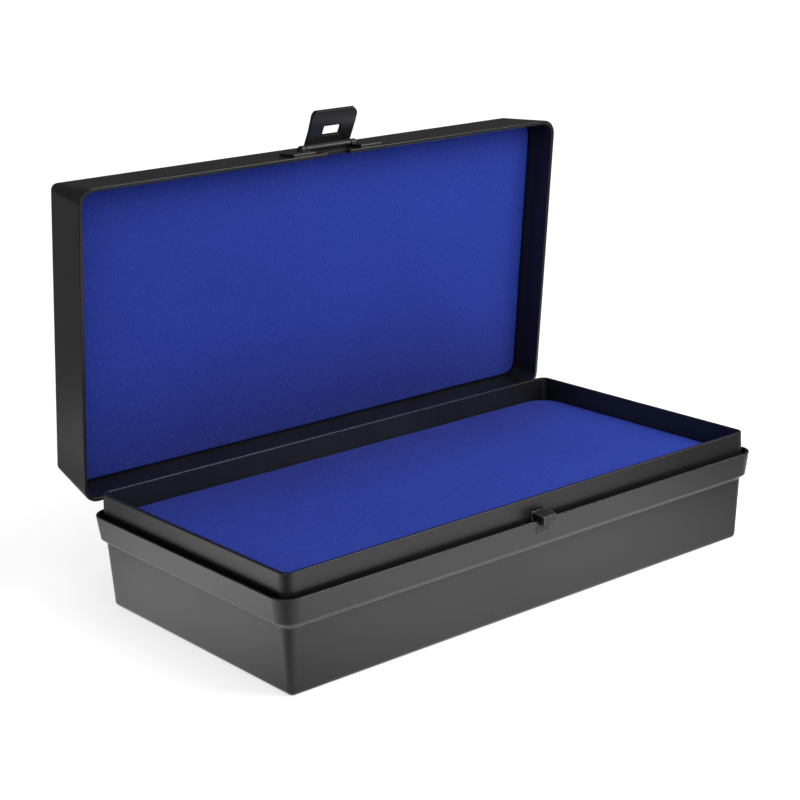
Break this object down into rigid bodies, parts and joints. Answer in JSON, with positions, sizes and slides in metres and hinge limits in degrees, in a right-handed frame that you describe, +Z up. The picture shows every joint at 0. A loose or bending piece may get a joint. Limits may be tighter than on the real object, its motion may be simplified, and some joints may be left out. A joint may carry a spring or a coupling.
{
  "type": "hinged instrument case",
  "caption": "Open plastic case for a micrometer, with blue foam in base and lid and a swinging latch flap.",
  "frame": {"origin": "middle of the underside, on the surface the case stands on", "axes": "+X along the case, +Y to the hinges at the back, +Z up; the latch is at the front, -Y"},
  "size_m": [0.21, 0.1401, 0.1573],
  "materials": {
    "shell": "satin",
    "pin": "satin",
    "foam": "matte",
    "adhesive": "matte"
  },
  "bodies": {
    "base": {"base_shell": "shell", "base_foam": "foam", "hinge_pin_left": "pin", "hinge_pin_right": "pin"},
    "lid": {"lid_shell": "shell", "lid_foam": "foam", "lid_foam_adhesive": "adhesive", "latch_pin": "pin"},
    "latch": {"latch_flap": "shell"}
  },
  "joints": [
    {"name": "lid_hinge", "type": "hinge", "parent": "base", "child": "lid", "pos_m": [0, 0.05715, 0.0315], "axis": [1, 0, 0], "range_deg": [0, 83.9]},
    {"name": "latch_hinge", "type": "hinge", "parent": "lid", "child": "latch", "pos_m": [0, 0.0538, 0.14374], "axis": [1, 0, 0], "range_deg": [-116.5, 68.8]}
  ]
}
